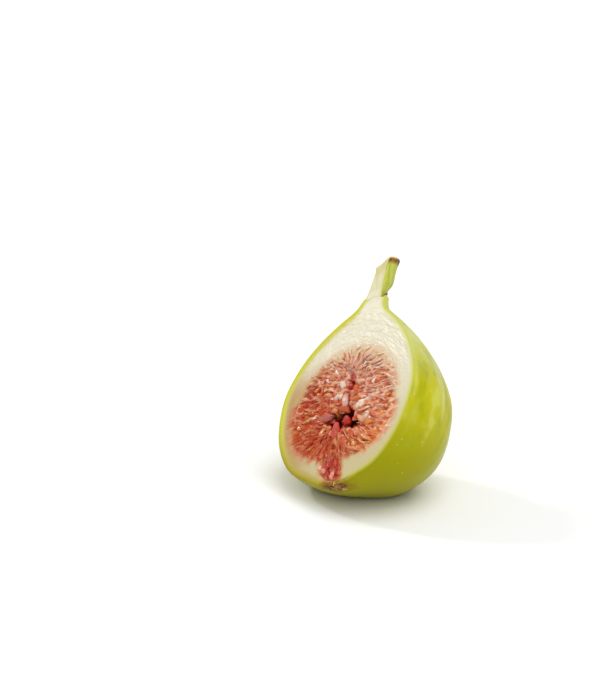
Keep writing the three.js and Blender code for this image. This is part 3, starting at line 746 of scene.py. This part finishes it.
def floret_finish(name, inner, wall, tip, wall_from):
    """Wet tissue: the paint of its inside, of its wall from this far across, and of its tip."""
    material, place = finish(name)
    _, y, z = place.parts()
    _, across, along = carried(place, "spot").parts()
    tone = carried(place, "tone", "Fac")
    mottle = noise(place, 1.3, 2.0)
    inside = tone.ramp(0.1, 0.9).between(inner[0], inner[1])
    inside = (mottle.ramp(0.4, 0.7) * 0.5).between(inside, inner[2])
    edge = (across.math("ABSOLUTE") + mottle * 0.3).ramp(wall_from, wall_from + 0.25)
    walled = (edge * 0.85).between(inside, wall)
    tipped = (along + tone * 0.7 - 0.35).ramp(0.45, 0.95).between(walled, tip)
    pale = tone.between((226, 172, 146), (216, 136, 96))
    white = tone.ramp(0.78, 0.84) * (z + mottle * 6).ramp(25, 30)
    whitened = white.between(tipped, (242, 220, 204))
    faded = by_region(whitened, place, pale)
    # Near black deeper below the cut face: painted shade down among the florets.
    depth_shaded = y.ramp(1.2, 3.2).between(faded, (104, 14, 10))
    dress(depth_shaded, mottle * 0.15 + 0.2, noise(place, 1.8, 2.0) * 0.3, specular=0.3, soft=PULP_SOFT)
    return material


cut_floret = floret_finish(
    "fig_floret_cut", ((206, 78, 12), (220, 118, 28), (184, 40, 10)),
    (228, 156, 100), (206, 76, 34), 0.66)
whole_floret = floret_finish(
    "fig_floret_whole", ((204, 52, 14), (220, 92, 36), (176, 26, 10)),
    (226, 120, 68), (236, 156, 112), 0.72)

outer_florets = strewn("florets_outer", [0.86, 0.7], OUTER, (10, 8, 0.34), cut_floret)
inner_florets = strewn("florets_inner", [0.5, 0.4, 0.3, 0.21], INNER, (10, 8, 0.7), whole_floret)
for florets in (outer_florets, inner_florets):
    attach(florets, "root")
    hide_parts("pulp")


# Threads. The pale walls and styles between the florets, thin ridges that run from the flesh
# towards the hollow and fade into the cream at their outer ends.
THREADS = {"Pitch": 2.6, "Length": 5.0, "Width": 0.26, "Rise": 0.26, "Lift": 0.15, "Stray": 1.1,
           "Swirl": 2.6, "Seed": 71}

thread_finish, place = finish("fig_thread")
tone = carried(place, "tone", "Fac")
_, _, along = carried(place, "spot").parts()
pale = tone.between((220, 138, 90), (230, 184, 136))
reddened = (along.ramp(0.45, 1.0) * 0.6).between(pale, (204, 84, 56))
faded = by_region(reddened, place, (232, 204, 182))
dress(faded, tone * 0.1 + 0.3, noise(place, 2.0, 2.0) * 0.1, specular=0.3,
      soft=(0.3, (1.0, 0.5, 0.35), 0.001))
threads = strewn("pulp_threads", [0.92, 0.78, 0.62], THREADS, (6, 9, 0.45), thread_finish)
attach(threads, "root")
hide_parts("pulp")


# Seeds. Small hard golden pips, one in a cut floret, glossy with juice. Most lie in the outer
# florets, a few further in.
SEEDS = {"Pitch": 3.6, "Length": 1.9, "Width": 0.55, "Rise": 0.45, "Lift": 0.4, "Stray": 1.1,
         "Swirl": 2.0, "Seed": 101}

seed_finish, place = finish("fig_seed")
tone = carried(place, "tone", "Fac")
out, _, _ = carried(place, "spot").parts()
gold = tone.ramp(0.1, 0.8).between((206, 128, 44), (196, 84, 28))
lit = (out.ramp(0.5, 1.0) * tone.ramp(0.9, 0.4) * 0.6).between(gold, (232, 184, 104))
x, _, z = place.parts()
faded = redness(x, z, tone).between(cream(place), lit)
dress(faded, tone * 0.1 + 0.15, noise(place, 3.0, 2.0) * 0.05, soft=(0.3, (1.0, 0.5, 0.1), 0.001),
      coat=(0.3, 0.08))
seeds = strewn("pulp_seeds", [0.86, 0.74, 0.58], SEEDS, (10, 7, 0.5), seed_finish)
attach(seeds, "root")
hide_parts("pulp")


# Lobes. The large whole florets that ring the hollow, the round red one that hangs in it, and the
# pink scales of the channel. Each is a drop laid from its root to its tip, in its own colour.
LOBES = [
    # root x and z, tip x and z, half-width, depth of the middle, paint
    (-12.6, 34.4, -10.4, 32.6, 0.7, 0.1, (240, 206, 186)),
    (-11.2, 31.0, -8.4, 29.6, 0.6, 0.1, (238, 190, 160)),
    (9.6, 32.4, 7.0, 30.4, 0.7, 0.1, (240, 214, 198)),
    (11.6, 27.4, 8.8, 26.2, 0.6, 0.1, (236, 196, 172)),
    (6.4, 38.4, 4.6, 35.8, 0.6, 0.1, (240, 210, 194)),
    (12.8, 22.2, 9.8, 22.0, 0.6, 0.1, (238, 200, 176)),
    (-9.4, 27.2, -6.6, 27.0, 0.6, 0.2, (232, 176, 150)),
    (9.4, 26.2, 2.2, 23.4, 1.25, 0.3, (240, 218, 192)),
    (-2.6, 28.6, -2.2, 24.4, 1.0, 0.2, (236, 190, 170)),
    (-6.4, 26.0, -0.6, 23.0, 1.35, 1.1, (190, 84, 38)),
    (-4.2, 13.6, -3.4, 19.4, 1.5, 0.4, (206, 72, 58)),
    (-10.4, 14.6, -8.2, 19.4, 0.8, 0.3, (220, 152, 96)),
    (-14.0, 20.4, -6.4, 22.4, 1.1, 0.5, (184, 100, 88)),
    (-18.0, 21.2, -12.2, 22.4, 0.75, 0.2, (218, 168, 134)),
    (8.6, 17.8, 4.8, 20.6, 1.0, 0.1, (226, 170, 128)),
    (7.6, 14.0, 3.6, 16.4, 0.9, 0.1, (220, 136, 98)),
    (2.4, 11.2, 0.0, 14.8, 0.8, 0.2, (206, 84, 46)),
    (7.0, 19.0, 8.2, 21.6, 0.8, -0.1, (228, 208, 190)),
    (-3.2, 12.2, -2.4, 14.6, 0.8, 0.1, (222, 150, 92)),
    (-9.0, 37.0, -7.6, 34.2, 0.8, 0.1, (240, 206, 190)),
    (-6.0, 33.4, -3.6, 30.0, 1.0, 0.1, (234, 206, 186)),
    (1.8, 31.4, 1.2, 27.4, 1.1, 0.2, (206, 92, 44)),
    (-7.2, 7.4, -5.6, 5.6, 0.7, -0.1, (238, 190, 166)),
    (-5.8, 6.2, -3.4, 4.2, 0.9, 0.0, (226, 140, 112)),
    (-3.9, 7.6, -2.6, 5.2, 0.7, 0.2, (184, 44, 24)),
    (-1.9, 9.8, -1.6, 6.6, 0.9, 0.1, (176, 34, 20)),
    (-0.2, 8.4, 0.2, 5.6, 0.8, 0.1, (192, 56, 34)),
    (-0.6, 5.2, 0.1, 2.0, 0.9, -0.1, (230, 150, 128)),
    (1.6, 6.2, 1.8, 3.2, 0.7, 0.2, (196, 70, 34)),
    (2.9, 5.2, 2.4, 3.0, 0.5, 0.2, (214, 130, 70)),
    (-2.2, 4.6, -1.4, 2.4, 0.7, 0.1, (168, 40, 20)),
    (-3.6, 3.4, -2.2, 2.0, 0.6, 0.2, (196, 112, 54)),
    (0.9, 2.8, 0.9, 1.2, 0.5, 0.1, (186, 96, 44)),
    (-4.6, 10.8, -3.2, 8.0, 0.8, 0.2, (190, 54, 30)),
    (-1.2, 12.2, -2.6, 9.8, 0.7, 0.2, (210, 110, 80)),
    (0.4, 10.6, 0.0, 8.8, 0.6, 0.2, (222, 140, 110)),
]
DRUPELET = Vector((-0.9, 1.4, 20.1))
DRUPELET_RADIUS = 1.6
DRUPELET_PAINT = (176, 26, 12)
LOBE_DROOP = 0.4


def drop_lines(name, drops):
    """One edge for each drop, from its root to its tip, which carries its half-width and paint."""
    points, girths, paints = [], [], []
    for root, tip, girth, colour in drops:
        points += [root, tip]
        girths += [girth, girth]
        paints += [*paint(*colour)] * 2
    mesh = bpy.data.meshes.new(name)
    mesh.from_pydata(points, [(i, i + 1) for i in range(0, len(points), 2)], [])
    mesh.attributes.new("girth", "FLOAT", "POINT").data.foreach_set("value", girths)
    mesh.attributes.new("paint", "FLOAT_COLOR", "POINT").data.foreach_set("color", paints)
    return mesh


def build_lobes(lines, size, facing):
    """A drop on the middle of each edge, as long as the edge, its flat side facing a direction."""
    ends = lines.node("GeometryNodeInputMeshEdgeVertices", None, None, "Position 1")
    reach = ends.output("Position 2") - ends
    lines = marked(lines, "reach", reach, "EDGE")
    middles = lines.node("GeometryNodeMeshToPoints", {"mode": "EDGES"}, {0: lines})
    reach = read(lines, "reach")
    girth = read(lines, "girth", "FLOAT")
    back = middles.node("GeometryNodeSetPosition", None, {0: middles, "Offset": reach * -0.5})
    sockets = {0: back, "Instance": drop(lines, 20, 14, 0.58), "Rotation": aligned(reach, facing),
               "Scale": xyz(girth * size["Flatness"], girth, reach.length())}
    placed = back.node("GeometryNodeInstanceOnPoints", None, sockets)
    made = placed.node("GeometryNodeRealizeInstances", None, {0: placed})
    spot = made.node("GeometryNodeInputPosition")
    return moved(made, spot + swirl(spot, size["Waves"]) * size["Lumps"])


lobe_finish, place = finish("fig_lobe")
_, _, along = carried(place, "spot").parts()
own = carried(place, "paint", "Color")
mottle = noise(place, 1.1, 3.0, 0.6)
rooted = (along.ramp(0.55, 0.0) * 0.75).between(own, (168, 44, 24))
veined = (mottle.ramp(0.48, 0.7) * 0.45).between(rooted, (190, 74, 50))
dress(veined, mottle * 0.15 + 0.18, noise(place, 1.5, 3.0) * 0.4, specular=0.3,
      soft=(0.25, (1.0, 0.4, 0.25), 0.0015), coat=(0.25, 0.1))

drops = [((x, depth + LOBE_DROOP, z), (tip_x, depth, tip_z), girth, colour)
         for x, z, tip_x, tip_z, girth, depth, colour in LOBES]
half = Vector((0, 0, DRUPELET_RADIUS))
drops.append((DRUPELET + half, DRUPELET - half, DRUPELET_RADIUS, DRUPELET_PAINT))
lobes = grow("pulp_lobes", drop_lines("lobe_lines", drops),
             {"Waves": 0.6, "Lumps": 1.7, "Flatness": 0.9},
             lambda lines, size: build_lobes(lines, size, (0, -1, 0)), lobe_finish)
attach(lobes, "root")
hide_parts("pulp")


# Channel. The red, ragged tissue between the pulp and the eye: wet scales grown together. It lies
# in the flesh's groove, and the large scales among the lobes lie on it.
CHANNEL_FOOT = 1.2
CHANNEL_LENGTH = 12
CHANNEL_SINK = 0.75


def build_channel(line, size):
    """Rings of points from the eye up to the pulp, flat in front and round behind."""
    grid, column, row = sheet(line, size["Columns"], size["Rows"])
    angle = column * (2 * math.pi)
    cosine, sine = angle.math("COSINE"), angle.math("SINE")
    share = row + 0.5
    z = share * CHANNEL_LENGTH + CHANNEL_FOOT
    ragged = noise(xyz(cosine * 2, sine * 2, z), 0.6, 2.0) * 1.4 - 0.9
    tapered = share.ramp(0.0, 0.06) * share.ramp(1.0, 0.95)
    half = (along_stops(z, CHANNEL_HALF_WIDTH) + ragged) * tapered
    x = cosine * half + along_stops(z, CHANNEL_MIDDLE)
    lumps = noise(xyz(x * 1.5, 0, z * 0.7), 0.7, 3.0, 0.6) * 1.6 - 0.5
    front = (sine * -1).ramp(0, 0.35) * tapered
    y = sine.math("MAXIMUM", 0.0) * (half * 0.5) + CHANNEL_SINK - front * (lumps + 0.3)
    return welded(moved(grid, xyz(x, y, z)))


channel_finish, place = finish("fig_channel")
x, y, z = place.parts()
clouds = noise(xyz(x * 1.6, y, z * 0.5), 0.7, 3.0, 0.6)
red = clouds.ramp(0.35, 0.65).between((150, 18, 8), (196, 74, 34))
browned = (z + clouds * 3).ramp(4.5, 2.0).between(red, (156, 86, 28))
edge = (x - along_stops(z, CHANNEL_MIDDLE)).math("ABSOLUTE") / along_stops(z, CHANNEL_HALF_WIDTH)
edged = ((edge + clouds * 0.5).ramp(0.9, 1.3) * 0.7).between(browned, (206, 136, 84))
dress(edged, clouds * 0.2 + 0.22, noise(place, 1.4, 3.0) * 0.4, specular=0.4,
      soft=(0.2, (1.0, 0.3, 0.2), 0.001))
channel = grow("pulp_channel", line_mesh("channel_middle", [(0, 0, 0), (1, 0, 0)]),
               {"Rows": 90, "Columns": 90}, build_channel, channel_finish)
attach(channel, "root")
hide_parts("pulp")


# Stem. The green stalk, cut lengthwise with the fruit and snapped off at the end, where it has
# dried brown. Its cut side is cream, one with the flesh.
STEM = [
    # height, x and y of the middle, half-width
    (57.6, -0.95, 0.2, 3.2), (59.3, -0.75, 0.5, 2.75), (61, -0.65, 1.0, 2.7),
    (63.5, -0.55, 1.9, 2.9), (66.5, -0.4, 2.0, 2.8), (69.6, -0.2, 2.0, 2.75),
]
STEM_END_SLOPE = 1.5
STEM_END_BACK = 0.2
STEM_END_FLARE = 0.12
STEM_DOME = 0.9
STEM_FACE = 0.5
STEM_CAP = 0.15
STEM_ROOT = 0.05
STEM_RIDGES = 7
STEM_RIDGE_HEIGHT = 0.07
STEM_FACE_DEPTH = 0.02


def stem_line(name):
    mesh = line_mesh(name, [(x, y, z) for z, x, y, r in STEM])
    mesh.attributes.new("girth", "FLOAT", "POINT").data.foreach_set("value", [r for z, x, y, r in STEM])
    return mesh


def build_stem(line, size):
    """A grid whose columns go round the back and over the cut face, and whose rows go up from the
    middle of the root to the middle of the snapped end."""
    path = smooth_line(line)
    grid, column, row = sheet(line, size["Columns"], size["Rows"])
    loop = (column + 0.5) * (1 + STEM_FACE)
    around = loop.ramp(0, 1, "LINEAR")
    flat = loop.ramp(1, 1 + STEM_FACE, "LINEAR")
    step = (row + 0.5) * (1 + STEM_CAP + STEM_ROOT) - STEM_ROOT
    share = step.ramp(0, 1, "LINEAR")
    cap = step.ramp(1, 1 + STEM_CAP, "LINEAR")
    root = step.ramp(0, -STEM_ROOT, "LINEAR")
    middle = path.node("GeometryNodeSampleCurve", {"mode": "FACTOR"}, {
        "Curves": path, "Factor": share, "Value": read(line, "girth", "FLOAT")}, "Position")
    girth = middle.output("Value") * (share.ramp(0.86, 1.0, "LINEAR") * STEM_END_FLARE + 1)
    mx, my, mz = middle.parts()
    start = (my / girth).math("MINIMUM", 1.0).math("ARCSINE")
    angle = (start * 2 + math.pi) * around - start
    uneven = noise(xyz(angle * 2, share * 3, 0), 1.0, 2.0) * 0.3 - 0.15
    ridge = (angle * STEM_RIDGES).math("COSINE") * STEM_RIDGE_HEIGHT + uneven
    girth = girth + ridge * (around * math.pi).math("SINE")
    x = mx + girth * angle.math("COSINE")
    y = (my + girth * angle.math("SINE")).math("MAXIMUM", STEM_FACE_DEPTH)
    right = mx + girth * start.math("COSINE")
    left = mx - girth * start.math("COSINE")
    x = x + (left + (right - left) * flat - x) * loop.ramp(0.999, 1.001, "LINEAR")
    shrunk = (1 - cap) * (1 - root)
    x = mx + (x - mx) * shrunk
    y = my + (y - my) * shrunk
    torn = noise(xyz(x, y, 0), 1.3, 2.0) * 0.7 - 0.35
    z = mz + share ** 2 * ((x * 0.6).math("TANH") * STEM_END_SLOPE) + torn * step.ramp(0.98, 1.05)
    z = z + (cap * (2 - cap)) ** 0.5 * STEM_DOME
    z = z + share.ramp(0.7, 1.0) * (y * STEM_END_BACK - STEM_DOME / 2)
    cut = loop.ramp(0.999, 1.02, "LINEAR") * (1 - cap.ramp(0.0, 0.05))
    grid = marked(grid, "stalk", xyz(cut, share, cap))
    return welded(moved(grid, xyz(x, y, z)))


stem_finish, place = finish("fig_stem")
x, y, z = place.parts()
cut, share, cap = carried(place, "stalk").parts()
fibre = noise(xyz(x * 1.5, y * 1.5, z * 0.18), 1.0, 3.0, 0.6)
green = fibre.ramp(0.35, 0.7).between((166, 174, 30), (198, 200, 84))
end = z - (x * 0.6).math("TANH") * STEM_END_SLOPE - y * STEM_END_BACK + fibre * 1.2
browned = end.ramp(67.6, 68.8).between(green, (150, 104, 20))
spots = noise(place, 0.8, 2.0)
browned = (end.ramp(68.2, 69.0) * spots.ramp(0.45, 0.6)).between(browned, (96, 58, 12))
tan = (end + cap * 4 - spots * 0.8).ramp(69.1, 69.7).between(browned, (232, 208, 154))
foot = (z + fibre).ramp(60.4, 59.2).between(tan, (190, 184, 50))
inner = fibre.ramp(0.4, 0.7).between((226, 220, 180), (212, 206, 146))
inner = (end.ramp(64.5, 68.0) * 0.7).between(inner, (206, 194, 120))
inner = z.ramp(61, 59).between(inner, cream(place))
side = (x - along_stops(z, [(58, -0.95), (61, -0.65), (69, -0.3)])).math("ABSOLUTE")
inner = (side.ramp(1.5, 2.9) * 0.6).between(inner, (206, 208, 110))
faced = cut.ramp(0.3, 0.7).between(foot, inner)
relief = fibre * 0.3 + noise(place, 2.0, 3.0) * 0.06
dress(faced, fibre * 0.2 + 0.42, relief, soft=(0.15, (0.8, 0.8, 0.4), 0.0015))
stem = grow("stem_stalk", stem_line("stem_path"), {"Rows": 90, "Columns": 90}, build_stem, stem_finish)
stem.data.set_sharp_from_angle(angle=math.radians(45))
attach(stem, "root")
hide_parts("stem")


# Collar scales. The dry brown scar where the stem joins the fruit: a low ragged band round its
# foot, with three pointed lobes that lean away from it.
COLLAR_MIDDLE = (-0.9, 0.35)
COLLAR_RADIUS = 3.35
COLLAR_LOBES = 3
COLLAR_ENDS = 0.03
COLLAR_TAPER = 0.04
COLLAR_FACE_DEPTH = 0.12


def build_collar(line, size):
    """A band whose columns go round the stalk, and whose rows go round its own section."""
    grid, column, row = sheet(line, size["Columns"], size["Rows"])
    around = (column + 0.5) * (1 - COLLAR_ENDS * 2) + COLLAR_ENDS
    section = row * (2 * math.pi)
    whole = around.ramp(COLLAR_ENDS, COLLAR_ENDS + COLLAR_TAPER)
    whole = whole * (1 - around).ramp(COLLAR_ENDS, COLLAR_ENDS + COLLAR_TAPER)
    start = math.asin(COLLAR_MIDDLE[1] / COLLAR_RADIUS)
    angle = around * (math.pi + 2 * start) - start
    lobe = ((around * COLLAR_LOBES - 0.42) * math.pi).math("COSINE").math("ABSOLUTE") ** 6
    ragged = noise(xyz(around * 9, 0, 0), 1.0, 3.0, 0.7)
    height = (lobe * 1.2 + ragged * 0.7 + 0.1) * whole
    up = (section.math("SINE") * 0.5 + 0.5) * height
    out = section.math("COSINE") * whole * size["Thickness"] + lobe * up * 0.3 + COLLAR_RADIUS
    x = angle.math("COSINE") * out + COLLAR_MIDDLE[0]
    y = (angle.math("SINE") * out + COLLAR_MIDDLE[1]).math("MAXIMUM", COLLAR_FACE_DEPTH)
    return welded(moved(grid, xyz(x, y, up + ragged * 0.3 + COLLAR - 0.05)))


scar_finish, place = finish("fig_collar_scar")
x, y, z = place.parts()
fibre = noise(xyz(x * 3, y * 3, z), 0.9, 3.0, 0.65)
brown = fibre.ramp(0.35, 0.65).between((104, 70, 16), (172, 132, 52))
tip = (z + fibre).ramp(59.2, 60.4).between(brown, (84, 50, 16))
dress(tip, fibre * 0.2 + 0.6, fibre * 0.3)
collar = grow("collar_scar", line_mesh("collar_middle", [(0, 0, 0), (1, 0, 0)]),
              {"Rows": 12, "Columns": 140, "Thickness": 0.22}, build_collar, scar_finish)
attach(collar, "root")
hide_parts("collar_scales")


# Eye scales. The dry brown papery scales that close the eye, round the end of the channel. They
# lie over each other like short blades, with a few loose threads between them.
EYE_X = 0.9
BLADES = 64
LOOSE_THREADS = 16
THREAD_GIRTH = 0.13
EYE_SEED = 5


def eye_blades():
    """The blades' roots near the eye's middle, their tips on the skin, half-widths and paints.
    Every second one is a thread, and some loose threads hang before the channel's end."""
    dice = random.Random(EYE_SEED)
    for i in range(BLADES):
        angle = math.pi * dice.random()
        thread = i % 2 == 1
        root = dice.uniform(0.3, 2.4)
        tip = root + dice.uniform(1.2, 2.4 if thread else 2.2)
        turned = angle + dice.uniform(-0.5, 0.5)
        fall = dice.uniform(-0.5, 0.1)
        rise = dice.uniform(-0.1, 0.4)
        girth = THREAD_GIRTH if thread else dice.uniform(0.35, 0.7)
        pale = dice.random() ** 0.5 if thread else dice.random() * 0.5
        yield ((EYE_X + root * math.cos(angle), root * math.sin(angle), fall),
               (EYE_X + tip * math.cos(turned), tip * abs(math.sin(turned)), fall + rise),
               girth, (96 + 132 * pale, 56 + 122 * pale, 8 + 90 * pale))
    for i in range(LOOSE_THREADS):
        x = dice.uniform(-2.0, 3.2)
        root = (x, 0.2, dice.uniform(0.9, 1.8))
        tip = (x + dice.uniform(-0.9, 0.9), 0.05, dice.uniform(-0.2, 0.4))
        girth = dice.uniform(0.15, 0.4)
        pale = dice.random()
        yield root, tip, girth, (120 + 108 * pale, 70 + 104 * pale, 12 + 88 * pale)


blade_finish, place = finish("fig_eye_blade")
own = carried(place, "paint", "Color")
fibre = noise(place, 1.6, 3.0, 0.65)
aged = (fibre.ramp(0.45, 0.7) * 0.5).between(own, (60, 34, 8))
dress(aged, fibre * 0.2 + 0.55, fibre * 0.2)
blades = grow("eye_blades", drop_lines("blade_lines", eye_blades()),
              {"Waves": 0.8, "Lumps": 0.7, "Flatness": 0.2},
              lambda lines, size: build_lobes(lines, size, (0, -0.3, -1)), blade_finish)
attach(blades, "root")
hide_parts("eye_scales")


# Table, light and camera. A plain white table under soft white light, the largest lamp above and
# behind to the right. The camera looks from the right-hand front, a little down.
scene = bpy.context.scene
scene.view_settings.view_transform = "Standard"

bpy.ops.mesh.primitive_plane_add(size=6.0, location=(0, 0, 0))
table = bpy.context.object
table.name = "table_top"
table_finish, place = finish("white_table")
dull = noise(place, 0.04, 2.0) * 0.1 + 0.6
dress(dull.ramp(0.0, 1.0).between((250, 250, 250), (252, 252, 252)), dull)
table.data.materials.append(table_finish)

world = bpy.data.worlds.new("white_room")
world.use_nodes = True
world.node_tree.nodes["Background"].inputs["Color"].default_value = (1, 1, 1, 1)
world.node_tree.nodes["Background"].inputs["Strength"].default_value = 0.5
scene.world = world


def sun(name, toward, strength, softness):
    """A wide even lamp far away, from a direction, whose softness is its width in degrees."""
    data = bpy.data.lights.new(name, "SUN")
    data.energy = strength
    data.angle = math.radians(softness)
    light = bpy.data.objects.new(name, data)
    light.rotation_euler = Vector(toward).to_track_quat("Z", "Y").to_euler()
    scene.collection.objects.link(light)


sun("lamp_above", (0.3, 0.2, 1.0), 1.3, 50)
sun("lamp_front", (0.8, -0.6, 0.8), 0.7, 40)
sun("lamp_left", (-0.8, -0.35, 0.7), 0.7, 9)

AZIMUTH = math.radians(57.74)
ELEVATION = math.radians(16.57)
DISTANCE = 0.6
AIM = (-0.00818, 0.03978)
PIXELS_PER_MM = 3.67
FRAME_HEIGHT = 680
SENSOR = 36
right = Vector((math.cos(AZIMUTH), math.sin(AZIMUTH), 0))
toward = Vector((math.sin(AZIMUTH) * math.cos(ELEVATION), -math.cos(AZIMUTH) * math.cos(ELEVATION),
                 math.sin(ELEVATION)))
above = toward.cross(right)
lens = bpy.data.cameras.new("camera")
lens.sensor_fit = "VERTICAL"
lens.sensor_height = SENSOR
lens.lens = SENSOR * PIXELS_PER_MM * DISTANCE * 1000 / FRAME_HEIGHT
camera = bpy.data.objects.new("camera", lens)
camera.location = EYE_AT + toward * DISTANCE + right * AIM[0] + above * AIM[1]
camera.rotation_euler = (-toward).to_track_quat("-Z", "Y").to_euler()
scene.collection.objects.link(camera)
scene.camera = camera
